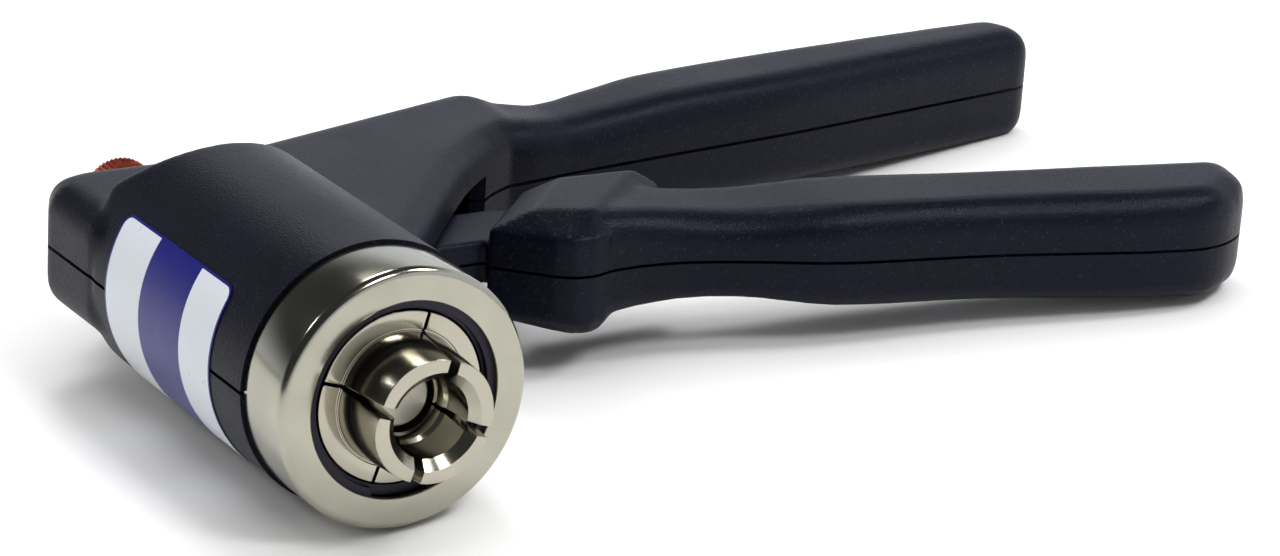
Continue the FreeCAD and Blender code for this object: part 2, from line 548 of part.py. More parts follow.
core = slab(rounded(CORE_OUTLINE), CORE_T / 2)
arm = slab(rounded(ARM_OUTLINE), ARM_H)
core = core.fuse(arm).fuse(post(PIVOT_X, PIVOT_Y, HUB_R, -HUB_H, HUB_H))
core = core.cut(post(PIVOT_X, PIVOT_Y, bush_r + FIT, -FAR, FAR))
fork_end = ROLLER_R + ROLLER_ROOM
core = core.cut(box(-BODY_R, fork_end, PIVOT_Y - BODY_R, PIVOT_Y + BODY_R, -FORK_H, FORK_H))
core = core.cut(post(0, PIVOT_Y, ROLLER_PIN_R + FIT, -FAR, FAR))
for x, y in LEVER_SCREWS:
    core = core.cut(post(x, y, BOSS_R + FREE, -FAR, FAR))
parts["lever_core"] = one_solid(core)
parts["roller_pin"] = post(0, PIVOT_Y, ROLLER_PIN_R, -ARM_H, ARM_H)
roller = post(0, PIVOT_Y, ROLLER_R, -ROLLER_T / 2, ROLLER_T / 2)
parts["arm_roller"] = roller.cut(post(0, PIVOT_Y, ROLLER_PIN_R + RUN, -FAR, FAR))

# Lever handle: two shells over the core, with a flat-topped block at the neck
grip_origin = Vector(GRIP_X, GRIP_Y, 0)
lever_grip = grip(LEVER_STATIONS, grip_origin, GRIP_ANGLE)
lever_grip = round_end(lever_grip, LEVER_END, grip_origin, GRIP_ANGLE, LEVER_END_FROM, END_EDGE)
lever_block = slab(Part.Face(Part.makePolygon(closed(LEVER_BLOCK, 0))), BLOCK_SHOULDER_H)
for outline, side in ((UPPER_FACET, 1), (LOWER_FACET, -1)):
    root = Part.makePolygon(closed(LEVER_BLOCK, side * BLOCK_SHOULDER_H))
    facet = Part.makePolygon(closed(outline, side * BLOCK_FLAT_H))
    lever_block = lever_block.fuse(Part.makeLoft([root, facet], True, True))
lever_block = lever_block.removeSplitter()
neck = slab(rounded(NECK_OUTLINE), NECK_H)
neck = neck.makeFillet(0.8, rims(neck, NECK_H))
lever_form = lever_grip.fuse(lever_block).fuse(neck)
lever_cavity = grip(LEVER_HOLLOW, grip_origin, GRIP_ANGLE, WALL)
pocket = slab(rounded(CORE_OUTLINE).makeOffset2D(0.3), CORE_T / 2 + FREE)
lever_shells = lever_form.cut(lever_cavity).cut(pocket)
for x, y in LEVER_SCREWS:
    lever_shells = lever_shells.fuse(post(x, y, BOSS_R, -BLOCK_H, BLOCK_H).common(lever_form))
for x, y in LEVER_SCREWS:
    lever_shells = lever_shells.cut(post(x, y, SCREW_R + RUN, -BLOCK_H - 5, SCREW_TIP + FREE))
    lever_shells = lever_shells.cut(post(x, y, SCREW_HEAD_R + FREE, -BLOCK_H - 5, SCREW_SEAT - BLOCK_FLAT_H))
parts["lever_shell_upper"] = one_solid(shell_half(lever_shells, True))
parts["lever_shell_lower"] = one_solid(shell_half(lever_shells, False))
parts["lever_screws"] = screws(LEVER_SCREWS, SCREW_SEAT - BLOCK_FLAT_H, SCREW_TIP)

# Adjusting knob, its bush and clip, and the stop pin that it drives
knob_face = KNOB_END - KNOB_LEN
teeth = []
for k in range(2 * KNOB_TEETH):
    radius = KNOB_R - KNOB_TOOTH * (k % 2)
    turn_angle = math.pi * k / KNOB_TEETH
    teeth.append(Vector(radius * math.cos(turn_angle), knob_face, radius * math.sin(turn_angle)))
knob = Part.Face(Part.makePolygon(teeth + teeth[:1])).extrude(Vector(0, KNOB_LEN, 0))
crown = turned([(knob_face - 1, 0), (knob_face - 1, KNOB_R - 0.9), (knob_face + 0.9, KNOB_R + 1),
                (KNOB_END - 0.9, KNOB_R + 1), (KNOB_END, KNOB_R - 0.5), (KNOB_END, 0)])
knob = knob.common(crown)
knob = knob.fuse(disc(KNOB_STEM_R, KNOB_CLIP_Y - KNOB_STEM_TIP, knob_face + 0.5))
knob = knob.cut(disc(STOP_PIN_R + RUN, 0, KNOB_END - KNOB_CROWN))
knob = knob.cut(tube(KNOB_STEM_R + 3, KNOB_STEM_R - KNOB_CLIP_DEPTH, KNOB_CLIP_Y, KNOB_CLIP_Y + KNOB_CLIP_T))
parts["adjusting_knob"] = one_solid(knob)
clip = tube(KNOB_CLIP_R, KNOB_STEM_R - KNOB_CLIP_DEPTH + FIT, KNOB_CLIP_Y + FIT, KNOB_CLIP_Y + KNOB_CLIP_T - FIT)
gap = CLIP_MOUTH * (KNOB_STEM_R - KNOB_CLIP_DEPTH)
parts["knob_clip"] = clip.cut(box(-gap / 2, gap / 2, 0, KNOB_END, -KNOB_CLIP_R - 1, 0))
knob_bush = disc(KNOB_BUSH_R, KNOB_BUSH_Y, BLOCK_REAR + FREE)
knob_bush = knob_bush.fuse(disc(KNOB_BUSH_FLANGE_R, BLOCK_REAR + FREE, knob_face - FREE)).removeSplitter()
knob_bush = knob_bush.cut(tube(KNOB_BUSH_R + 1, KNOB_BUSH_R - KNOB_GROOVE, KNOB_GROOVE_Y,
                               KNOB_GROOVE_Y + KNOB_GROOVE_W))
parts["knob_bush"] = knob_bush.cut(disc(KNOB_STEM_R + RUN, 0, FAR))
stop = box(-STOP_HEAD, STOP_HEAD, STOP_FRONT, STOP_FRONT + STOP_HEAD_T, -STOP_HEAD, STOP_HEAD)
stop_shank = disc(STOP_PIN_R, STOP_FRONT, KNOB_END - KNOB_CROWN - STOP_TRAVEL - 0.5)
parts["stop_pin"] = stop.fuse(stop_shank).removeSplitter()

# Label: a thin film round the left of the barrel
film = tube(BODY_R + LABEL_T, BODY_R + 0.01, LABEL_Y0, LABEL_Y1)
wedge_points = [Vector(0, LABEL_Y0 - 1, 0)]
for k in range(5):
    a = math.radians(LABEL_FROM + (LABEL_TO - LABEL_FROM) * k / 4)
    wedge_points.append(Vector(2 * BODY_R * math.cos(a), LABEL_Y0 - 1, 2 * BODY_R * math.sin(a)))
wedge = Part.Face(Part.makePolygon(wedge_points + wedge_points[:1])).extrude(Vector(0, LABEL_Y1, 0))
parts["side_label"] = film.common(wedge)

os.makedirs("parts", exist_ok=True)
for name, shape in parts.items():
    if not shape.isValid() or not shape.Solids:
        print("check", name, shape.isValid(), len(shape.Solids))
    shape.exportStep("parts/%s.step" % name)
    b = shape.BoundBox
    print("%-20s %9.1f  x %7.2f %7.2f  y %7.2f %7.2f  z %6.2f %6.2f  solids %d" % (
        name, shape.Volume, b.XMin, b.XMax, b.YMin, b.YMax, b.ZMin, b.ZMax, len(shape.Solids)))
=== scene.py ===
# %% [markdown]
# # A hand-held vial decapper
# This lesson dresses an engineering model of a small hand tool: a round head with four
# jaws, a rigid handle and a squeezed lever. The engineering model is loaded first and is
# never moved, so every piece made here has to fit over it.

# %% Load the fixed frame
import json
import math

import bpy
from mathutils import Matrix, Vector


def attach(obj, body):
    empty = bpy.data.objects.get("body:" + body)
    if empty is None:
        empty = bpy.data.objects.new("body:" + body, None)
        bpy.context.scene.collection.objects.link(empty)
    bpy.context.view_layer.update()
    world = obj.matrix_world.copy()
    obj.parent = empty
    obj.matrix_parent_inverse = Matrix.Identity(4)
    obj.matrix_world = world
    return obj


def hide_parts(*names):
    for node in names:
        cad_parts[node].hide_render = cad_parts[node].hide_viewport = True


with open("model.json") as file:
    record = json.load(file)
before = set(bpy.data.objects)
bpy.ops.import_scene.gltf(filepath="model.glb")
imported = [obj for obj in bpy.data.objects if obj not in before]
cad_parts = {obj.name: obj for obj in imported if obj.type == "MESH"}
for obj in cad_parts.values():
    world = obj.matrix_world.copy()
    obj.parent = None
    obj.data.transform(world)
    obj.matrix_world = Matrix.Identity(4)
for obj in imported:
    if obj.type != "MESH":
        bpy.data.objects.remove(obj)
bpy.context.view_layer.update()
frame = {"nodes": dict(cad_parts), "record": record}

# %% [markdown]
# ## Camera
# The picture was taken from the front left and from above, with a long lens and the camera
# rolled a little. The place and the two directions below say this directly, which is
# surer than aiming with a constraint, and 112.5 mm on a 36 mm sensor gives the framing.

# %% Put the camera in place
MM = 0.001
CAMERA_PLACE = Vector((-258.9, -456.8, 209.7)) * MM
CAMERA_RIGHT = Vector((0.8522, -0.5198, 0.0603))
CAMERA_BACK = Vector((-0.5078, -0.7936, 0.3353))
LENS_MM = 112.5
SENSOR_MM = 36.0
NEAREST_SEEN = 0.01


def place_camera():
    """Adds the camera with its right and back directions given."""
    bpy.ops.object.camera_add()
    camera = bpy.context.object
    back = CAMERA_BACK.normalized()
    right = (CAMERA_RIGHT - back * CAMERA_RIGHT.dot(back)).normalized()
    up = back.cross(right)
    turn = Matrix((right, up, back)).transposed().to_4x4()
    camera.matrix_world = Matrix.Translation(CAMERA_PLACE) @ turn
    camera.data.lens = LENS_MM
    camera.data.sensor_width = SENSOR_MM
    camera.data.clip_start = NEAREST_SEEN
    bpy.context.scene.camera = camera
    return camera


camera = place_camera()
print("camera at", tuple(round(v, 3) for v in camera.location))

# %% [markdown]
# ## Floor and light
# The tool lies on a plain pale table: the head's lowest line and the ends of the handles
# touch it, so the table is tilted by a few degrees in the tool's own frame. Broad soft
# lamps are used because black plastic and plated metal are seen by what they mirror.

# %% Lay the floor
FLOOR_TILT = math.radians(3.6)
HEAD_BOTTOM = -20.6 * MM
FLOOR_SIDE = 6.0


def lay_floor():
    """A wide plane under the head, tilted about Y so that the handles rest on it too."""
    bpy.ops.mesh.primitive_plane_add(size=FLOOR_SIDE)
    floor = bpy.context.object
    floor.name = "table_top"
    under_head = Matrix.Translation((0, 0, HEAD_BOTTOM))
    floor.matrix_world = under_head @ Matrix.Rotation(-FLOOR_TILT, 4, "Y")
    return floor


floor = lay_floor()
print("floor laid at", round(HEAD_BOTTOM, 4))

# %% [markdown]
# ## Lamps
# Three wide panels fill the scene softly, and the mirrors don't see them. Four small
# lamps are seen by the mirrors: their places come from following the camera's line of
# sight off the nose of a jaw, the ring's rounded edge, the lever's shoulder and the slope
# of the lever's block.

# %% Hang the lamps
# Each lamp has its place, the side of its square, its power and if the mirrors see it.
LAMPS = {
    "overhead_panel": ((0.12, 0.30, 0.80), 1.2, 6.2, False),
    "left_panel": ((-0.75, -0.10, 0.45), 0.5, 1.2, False),
    "front_panel": ((0.35, -0.85, 0.25), 0.4, 0.8, False),
    "rear_lamp": ((0.16, 0.58, 0.69), 0.22, 2.0, True),
    "left_lamp": ((-0.54, 0.49, 0.53), 0.12, 0.6, True),
    "front_lamp": ((0.15, -0.52, 0.76), 0.22, 3.0, True),
    "right_lamp": ((0.51, -0.23, 0.70), 0.20, 2.2, True),
}
LIT_POINT = Vector((0.06, 0.05, 0.0))


def hang_lamp(name, place, size, power, mirrored):
    """A square lamp that faces the tool; the wide ones are kept out of the reflections."""
    bpy.ops.object.light_add(type="AREA", location=place)
    lamp = bpy.context.object
    lamp.name = name
    lamp.data.size = size
    lamp.data.energy = power
    lamp.visible_glossy = mirrored
    lamp.rotation_euler = (LIT_POINT - Vector(place)).to_track_quat("-Z", "Y").to_euler()
    return lamp


for lamp_name, settings in LAMPS.items():
    hang_lamp(lamp_name, *settings)
print("lamps:", list(LAMPS))

# %% [markdown]
# ## Writing materials as sums
# A finish is a recipe of numbers that change over the surface. One small class wraps a
# socket of the material, so that `0.3 + 0.1 * grain` adds the Math nodes by itself. Every
# other node comes from one method that takes its type, settings and sockets.

# %% Small language for materials


class Signal:
    """One output socket of a material's node tree, with arithmetic on it."""

    def __init__(self, tree, socket):
        self.tree = tree
        self.socket = socket

    def maths(self, operation, first, second):
        node = self.tree.nodes.new("ShaderNodeMath")
        node.operation = operation
        for slot, value in zip(node.inputs, (first, second)):
            if isinstance(value, Signal):
                self.tree.links.new(value.socket, slot)
            else:
                slot.default_value = value
        return Signal(self.tree, node.outputs[0])

    def __add__(self, other):
        return self.maths("ADD", self, other)

    def __radd__(self, other):
        return self.maths("ADD", other, self)

    def __sub__(self, other):
        return self.maths("SUBTRACT", self, other)

    def __rsub__(self, other):
        return self.maths("SUBTRACT", other, self)

    def __mul__(self, other):
        return self.maths("MULTIPLY", self, other)

    def __rmul__(self, other):
        return self.maths("MULTIPLY", other, self)

    def __gt__(self, other):
        return self.maths("GREATER_THAN", self, other)

    def __lt__(self, other):
        return self.maths("LESS_THAN", self, other)


class Finish:
    """A material on Principled BSDF, whose pattern lies on Object coordinates."""

    def __init__(self, name, **constants):
        self.material = bpy.data.materials.new(name)
        self.material.use_nodes = True
        self.tree = self.material.node_tree
        self.shader = self.tree.nodes["Principled BSDF"]
        self.place = self.node("TexCoord", out="Object")
        for socket, value in constants.items():
            self.set(socket.replace("_", " "), value)

    def set(self, socket, value):
        self.plug(self.shader.inputs[socket], value)

    def plug(self, slot, value):
        if isinstance(value, Signal):
            self.tree.links.new(value.socket, slot)
        else:
            slot.default_value = value

    def node(self, kind, sockets=None, out=0, stops=None, **settings):
        """Adds a node: settings first, then a ramp's stops, then the sockets."""
        made = self.tree.nodes.new("ShaderNode" + kind)
        for setting, value in settings.items():
            setattr(made, setting, value)
        if stops:
            ramp = made.color_ramp.elements
            while len(ramp) < len(stops):
                ramp.new(1.0)
            for element, (position, colour) in zip(ramp, stops):
                element.position = position
                element.color = colour
        for socket, value in (sockets or {}).items():
            self.plug(made.inputs[socket], value)
        return Signal(self.tree, made.outputs[out])

    def stretched(self, scale, turn=(0, 0, 0)):
        """Object coordinates turned and scaled by axis."""
        return self.node("Mapping", {"Vector": self.place, "Scale": scale, "Rotation": turn})

    def noise(self, scale, detail=2.0, place=None):
        sockets = {"Vector": place or self.place, "Scale": scale, "Detail": detail}
        return self.node("TexNoise", sockets, out=0)

    def ramp(self, signal, low, high, interpolation="LINEAR"):
        """Signal from 0 to 1 as it goes from low to high."""
        sockets = {"Value": signal, "From Min": low, "From Max": high}
        return self.node("MapRange", sockets, clamp=True, interpolation_type=interpolation)

    def colours(self, signal, dark, light):
        """Blend of two colours by a signal."""
        made = self.tree.nodes.new("ShaderNodeMix")
        made.data_type = "RGBA"
        self.plug(made.inputs[0], signal)
        self.plug(made.inputs[6], dark)
        self.plug(made.inputs[7], light)
        return Signal(self.tree, made.outputs[2])

    def bump(self, height, depth, below=None):
        """Adds height, in metres of depth, over any earlier bump."""
        sockets = {"Height": height, "Distance": depth}
        if below is not None:
            sockets["Normal"] = below
        return self.node("Bump", sockets)

    def parts(self):
        """The three Object coordinates, in metres."""
        split = self.tree.nodes.new("ShaderNodeSeparateXYZ")
        self.plug(split.inputs[0], self.place)
        return (Signal(self.tree, out) for out in split.outputs)

    def axis_parts(self):
        """Distance from the head's axis and the place along it, in metres."""
        x, y, z = self.parts()
        flat = self.node("CombineXYZ", {"X": x, "Z": z})
        far = self.node("VectorMath", {0: flat}, out="Value", operation="LENGTH")
        return far, y


print("material language ready")

# %% [markdown]
# ## Black moulded plastic
# The casing is glass-filled plastic from a spark-eroded mould: nearly black with a little
# blue, with a fine even grain that spreads the light of the flats. A noise of about a
# third of a millimetre gives the grain and a slow one varies the gloss by touch.

# %% Make the plastic
def black_plastic():
    f = Finish("black_plastic", IOR=1.46)
    grain = f.ramp(f.noise(3000.0, 1.0), 0.35, 0.75)
    slow = f.noise(45.0, 3.0)
    worn = f.ramp(slow, 0.35, 0.7)
    specks = f.ramp(f.noise(1900.0, 2.0), 0.60, 0.74)
    tone = f.colours(worn, (0.0016, 0.0018, 0.0056, 1), (0.0026, 0.0028, 0.0082, 1))
    f.set("Base Color", f.colours(0.7 * specks, tone, (0.022, 0.022, 0.028, 1)))
    f.set("Roughness", 0.34 + 0.06 * worn + 0.10 * grain)
    f.set("Normal", f.bump(grain, 0.000025))
    f.set("Specular IOR Level", 0.15)
    f.set("Specular Tint", (0.80, 0.85, 1.0, 1))
    return f.material


plastic = black_plastic()
print("plastic:", plastic.name)

# %% [markdown]
# ## Plated and turned metal
# The ring and jaws are nickel plated, so they are warm grey mirrors with faint turning
# marks round the head's axis. The marks are a noise that only changes with the distance
# from the axis and along it, which is how a lathe tool leaves them.

# %% Make the metals
def turned_metal(name, colour, roughness, mark_scale, mark_depth):
    """Metal with turning marks round the head's axis and a little staining."""
    f = Finish(name, Metallic=1.0)
    far, along = f.axis_parts()
    turned_place = f.node("CombineXYZ", {"X": far, "Y": along})
    marks = f.noise(mark_scale, 4.0, turned_place)
    stain = f.ramp(f.noise(120.0, 4.0), 0.35, 0.75)
    darker = tuple(0.86 * c for c in colour[:3]) + (1,)
    f.set("Base Color", f.colours(stain, colour, darker))
    f.set("Roughness", roughness + 0.05 * marks + 0.05 * stain)
    f.set("Normal", f.bump(marks, mark_depth))
    return f.material


def plain_metal(name, colour, roughness, scale=900.0):
    """Metal with a fine even scatter of scratches."""
    f = Finish(name, Metallic=1.0)
    scratch = f.noise(scale, 5.0, f.stretched((1.0, 0.12, 1.0)))
    stain = f.ramp(f.noise(90.0, 3.0), 0.3, 0.75)
    darker = tuple(0.75 * c for c in colour[:3]) + (1,)
    f.set("Base Color", f.colours(stain, colour, darker))
    f.set("Roughness", roughness + 0.14 * scratch)
    f.set("Normal", f.bump(scratch, 0.00001))
    return f.material


METALS = {
    "nickel": turned_metal("nickel", (0.38, 0.368, 0.302, 1), 0.11, 5200.0, 0.000003),
    "jaw_steel": turned_metal("jaw_steel", (0.42, 0.395, 0.322, 1), 0.11, 4200.0, 0.000003),
    "bright_steel": plain_metal("bright_steel", (0.62, 0.60, 0.52, 1), 0.36),
    # The plunger's face is its own pale metal, painted paler still as painted light, so that the face
    # deep in the bore looks lit.
    "plunger_face_painted_light": plain_metal("plunger_face_painted_light", (0.80, 0.775, 0.66, 1), 0.42),
    "spring_steel": plain_metal("spring_steel", (0.42, 0.41, 0.40, 1), 0.28),
    # dark_steel is painted near black. This is partly the steel's dark oxide and partly painted shade for
    # the gap behind the ring's bore, where these parts sit.
    "dark_steel": plain_metal("dark_steel", (0.030, 0.028, 0.036, 1), 0.34),
    "screw_steel": plain_metal("screw_steel", (0.12, 0.12, 0.125, 1), 0.35),
    "brass": plain_metal("brass", (0.68, 0.50, 0.24, 1), 0.26),
}
print("metals:", list(METALS))

# %% [markdown]
# ## Anodised knob and bare label
# The knob is aluminium with an orange-red anodised skin, a little paler where fingers
# have rubbed the crests of its knurl. The label is a glossy white film with one plain
# blue band across its middle and a thin blue border. It carries no words.

# %% Make the anodising and the film
def red_anodised():
    f = Finish("red_anodised", Metallic=0.9)
    rub = f.ramp(f.noise(700.0, 4.0), 0.4, 0.7)
    f.set("Base Color", f.colours(rub, (0.34, 0.035, 0.010, 1), (0.52, 0.085, 0.022, 1)))
    f.set("Roughness", 0.30 + 0.12 * rub)
    f.set("Normal", f.bump(f.noise(2500.0, 2.0), 0.00002))
    return f.material


FILM_RADIUS = 20.62 * MM
FILM_MIDDLE = (math.radians(8.0), 47.35 * MM)
FILM_HALF = (15.8 * MM, 18.2 * MM)
FILM_CORNER = 2.2 * MM
BORDER = 0.45 * MM
BAND = (39.5 * MM, 53.5 * MM)


def label_film():
    """Bare label; the distance to its rounded outline gives the border and the cut."""
    f = Finish("label_film", IOR=1.48)
    x, along, z = f.parts()
    round_it = x.maths("ARCTAN2", 0.0 - z, 0.0 - x) - FILM_MIDDLE[0]
    outside = []
    sides = ((round_it * FILM_RADIUS, FILM_HALF[0]), (along - FILM_MIDDLE[1], FILM_HALF[1]))
    for place, half in sides:
        outside.append(place.maths("ABSOLUTE", place, 0.0) - (half - FILM_CORNER))
    past = [q.maths("MAXIMUM", q, 0.0) for q in outside]
    squares = past[0] * past[0] + past[1] * past[1]
    inner = x.maths("MINIMUM", x.maths("MAXIMUM", *outside), 0.0)
    distance = x.maths("SQRT", squares, 0.0) + inner - FILM_CORNER
    band = (along > BAND[0]) * (along < BAND[1])
    blue = f.ramp(band + (distance > -BORDER), 0.0, 1.0)
    soil = f.noise(260.0, 4.0)
    f.set("Base Color", f.colours(blue, (0.63, 0.665, 0.71, 1), (0.005, 0.006, 0.15, 1)))
    f.set("Roughness", 0.24 + 0.12 * soil)
    f.set("Normal", f.bump(f.noise(160.0, 2.0), 0.00004))
    f.set("Alpha", distance < 0.0)
    f.set("Specular IOR Level", 0.3)
    return f.material


COATED = {"red_anodised": red_anodised(), "label_film": label_film()}
print("coated:", list(COATED))

# %% [markdown]
# ## Dressing the frame
# Each node of the engineering model names its material, so a dictionary from that name
# to a finish dresses all of them in one loop. Only the plunger's face has its own finish:
# it is turned less finely than the jaws, so it scatters the light that reaches it, and its
# pale metal is painted paler still, as painted light for a face that sits deep in the bore.

# %% Give every node of the frame its finish
FINISHES = {"black_plastic": plastic, **METALS, **COATED}
NODE_SLOT = {p["node"]: p["material_slot"] for p in frame["record"]["subparts"]}
OWN_FINISH = {"plunger_head": "plunger_face_painted_light"}
for node_name, node in frame["nodes"].items():
    node.data.materials.clear()
    node.data.materials.append(FINISHES[OWN_FINISH.get(node_name, NODE_SLOT[node_name])])
print("dressed nodes:", len(frame["nodes"]))

# %% [markdown]
# ## Modelling by hand, in code
# Each piece starts as a primitive and is shaped by the same operators that a modeller
# would use. An operator acts on whatever is selected, so these helpers clear the
# selection first and pick edges or faces by their place.

# %% Small modelling helpers
def alone(piece):
    """Selects one object only and makes it active."""
    if bpy.context.mode != "OBJECT":
        bpy.ops.object.mode_set(mode="OBJECT")
    bpy.ops.object.select_all(action="DESELECT")
    piece.select_set(True)
    bpy.context.view_layer.objects.active = piece
    return piece


def apply(piece, kind, **settings):
    """Adds a modifier and applies it at once."""
    alone(piece)
    modifier = piece.modifiers.new(kind.lower(), kind)
    for setting, value in settings.items():
        setattr(modifier, setting, value)
    bpy.ops.object.modifier_apply(modifier=modifier.name)
    return piece


def cut_away(piece, other):
    """Boolean difference of two closed meshes; the second one is used up."""
    apply(piece, "BOOLEAN", operation="DIFFERENCE", object=other, solver="MANIFOLD")
    bpy.data.objects.remove(other)
    return piece


def unite(piece, other):
    """Boolean union of two closed meshes; the second one is used up."""
    apply(piece, "BOOLEAN", operation="UNION", object=other, solver="MANIFOLD")
    bpy.data.objects.remove(other)
    return piece


def gather(piece, *others):
    """Puts closed bodies into one mesh, which a voxel remesh then unites."""
    alone(piece)
    for other in others:
        other.select_set(True)
    bpy.ops.object.join()
    return piece


def traced(name, outline, low, high):
    """Flat outline traced corner by corner, filled and given its thickness."""
    bpy.ops.object.select_all(action="DESELECT")
    bpy.ops.mesh.primitive_plane_add(size=MM)
    piece = bpy.context.object
    piece.name = name
    bpy.ops.object.mode_set(mode="EDIT")
    bpy.ops.mesh.merge(type="CENTER")
    x, y = outline[0]
    bpy.ops.transform.translate(value=(x * MM, y * MM, low * MM))
    for nx, ny in outline[1:]:
        step = ((nx - x) * MM, (ny - y) * MM, 0)
        bpy.ops.mesh.extrude_region_move(TRANSFORM_OT_translate={"value": step})
        x, y = nx, ny
    bpy.ops.mesh.select_all(action="SELECT")
    bpy.ops.mesh.edge_face_add()
    bpy.ops.mesh.extrude_region_move(TRANSFORM_OT_translate={"value": (0, 0, (high - low) * MM)})
    bpy.ops.mesh.select_all(action="SELECT")
    bpy.ops.mesh.normals_make_consistent(inside=False)
    bpy.ops.object.mode_set(mode="OBJECT")
    return piece


def rod(name, radius, start, end, axis="Y", steps=64):
    """Plain round bar between two points on a line along one axis."""
    turns = {"X": (0, math.pi / 2, 0), "Y": (math.pi / 2, 0, 0), "Z": (0, 0, 0)}
    middle = (Vector(start) + Vector(end)) / 2 * MM
    depth = (Vector(end) - Vector(start)).length * MM
    bpy.ops.object.select_all(action="DESELECT")
    bpy.ops.mesh.primitive_cylinder_add(vertices=steps, radius=radius * MM, depth=depth,
                                        location=middle, rotation=turns[axis])
    bpy.ops.object.transform_apply(location=True, rotation=True, scale=True)
    bpy.context.object.name = name
    return bpy.context.object


print("modelling helpers ready")

# %% [markdown]
# ## Handles as a run of sections
# A handle could be a loft of curves. Here one rectangle is extruded from station to
# station, and every new section is moved and scaled, because that keeps straight rows of
# faces whose long edges a bevel can round evenly. The stations are few, so a smooth
# curve is run through their numbers first.

# %% Extrude a handle
def smooth_run(stations, step):
    """Stations at even steps on a Catmull-Rom curve through the given ones."""
    ends = [stations[0]] + list(stations) + [stations[-1]]
    out = []
    for a, b, c, d in zip(ends, ends[1:], ends[2:], ends[3:]):
        count = max(1, round((c[0] - b[0]) / step))
        for k in range(count):
            t = k / count
            row = [b[0] + (c[0] - b[0]) * t]
            for p, q, r, s in zip(a[1:], b[1:], c[1:], d[1:]):
                bend = 2 * p - 5 * q + 4 * r - s + t * (3 * (q - r) + s - p)
                row.append(q + 0.5 * t * (r - p + t * bend))
            out.append(row)
    return out + [list(stations[-1])]


STATION_STEP = 4.0
HANDLE_ROUND = 4.8


def handle(name, stations, origin, angle, cuts):
    """Extruded, cut to its end and rounded; then turned into its place."""
    rows = smooth_run(stations[:-1], STATION_STEP) + [stations[-1]]
    s, near, far, half = rows[0]
    bpy.ops.object.select_all(action="DESELECT")
    bpy.ops.mesh.primitive_plane_add(size=MM, rotation=(0, math.pi / 2, 0))
    bpy.ops.object.transform_apply(location=False, rotation=True, scale=False)
    piece = bpy.context.object
    piece.name = name
    bpy.ops.object.mode_set(mode="EDIT")
    bpy.ops.mesh.select_all(action="SELECT")
    bpy.ops.transform.resize(value=(1, near + far, 2 * half), center_override=(0, 0, 0))
    bpy.ops.transform.translate(value=(s * MM, (far - near) / 2 * MM, 0))
    for row in rows[1:]:
        ns, nnear, nfar, nhalf = row
        bpy.ops.mesh.extrude_region_move(TRANSFORM_OT_translate={"value": ((ns - s) * MM, 0, 0)})
        centre = (far - near) / 2
        bpy.ops.transform.resize(value=(1, (nnear + nfar) / (near + far), nhalf / half),
                                 center_override=(ns * MM, centre * MM, 0))
        bpy.ops.transform.translate(value=(0, ((nfar - nnear) / 2 - centre) * MM, 0))
        s, near, far, half = ns, nnear, nfar, nhalf
    for point, normal in cuts:
        bpy.ops.mesh.select_all(action="SELECT")
        bpy.ops.mesh.bisect(plane_co=Vector(point) * MM, plane_no=normal, use_fill=True, clear_outer=True)
    bpy.ops.mesh.select_all(action="SELECT")
    bpy.ops.mesh.remove_doubles(threshold=0.00001)
    bpy.ops.mesh.normals_make_consistent(inside=False)
    bpy.ops.object.mode_set(mode="OBJECT")
    apply(piece, "BEVEL", width=HANDLE_ROUND * MM, segments=5, limit_method="ANGLE",
          angle_limit=math.radians(32), use_clamp_overlap=False)
    turned = Matrix.Rotation(math.radians(angle), 4, "Z")
    piece.matrix_world = Matrix.Translation(Vector(origin) * MM) @ turned
    bpy.ops.object.transform_apply(location=True, rotation=True, scale=True)
    return piece


print("handle tool ready")

# %% [markdown]
# ## Skins of the two mouldings
# Casing and lever are moulded in halves that meet at a seam. Each whole form is united
# from a few bodies, remeshed into even small faces and relaxed, which gives the soft
# inner corners of a moulding. It is then cut along the seam, and each half gets a wall.

# %% Relax and split a moulding
SEAM_GAP = 0.26
SKIN = 2.2
SCREW_HOLE_R = 2.85


def relax(form, voxel, rounds):
    """Even small faces, evened out so that inner and outer corners get soft."""
    apply(form, "REMESH", mode="VOXEL", voxel_size=voxel * MM)
    apply(form, "SMOOTH", factor=0.5, iterations=rounds)
    return form


def half_shell(form, name, side, cutters, keep):
    """One half of the form, cut at the seam, with a wall inside it."""
    alone(form)
    bpy.ops.object.duplicate()
    half = bpy.context.object
    half.name = name
    bpy.ops.object.mode_set(mode="EDIT")
    bpy.ops.mesh.select_all(action="SELECT")
    bpy.ops.mesh.bisect(plane_co=(0, 0, side * SEAM_GAP * MM), plane_no=(0, 0, -side), clear_outer=True)
    bpy.ops.object.mode_set(mode="OBJECT")
    apply(half, "DECIMATE", decimate_type="COLLAPSE", ratio=keep)
    apply(half, "SOLIDIFY", thickness=SKIN * MM, offset=-1.0, use_even_offset=False)
    for cutter in cutters:
        alone(cutter)
        bpy.ops.object.duplicate()
        cut_away(half, bpy.context.object)
    alone(half)
    bpy.ops.object.shade_smooth_by_angle(angle=math.radians(38))
    half.data.materials.clear()
    half.data.materials.append(plastic)
    return half


def screw_drills(places, top):
    """Rods from below that cut the screw-head holes."""
    return [rod("drill", SCREW_HOLE_R, (x, y, -14), (x, y, top), "Z", 32) for x, y in places]


def seat_shell(half, body, node_name):
    """Rides on its body and stands for its node."""
    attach(half, body)
    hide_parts(node_name)
    print(half.name, len(half.data.polygons), "faces")


print("moulding tools ready")

# %% [markdown]
# ## Lever
# The lever's handle grows out of a block whose top is a flat parallelogram with a slope on
# each side. The block is a prism whose top is inset by moving its corners, and the thin
# neck beside it goes into the casing. Each row of the run gives a station along the grip,
# the reach to the near and to the far side, and half the thickness.

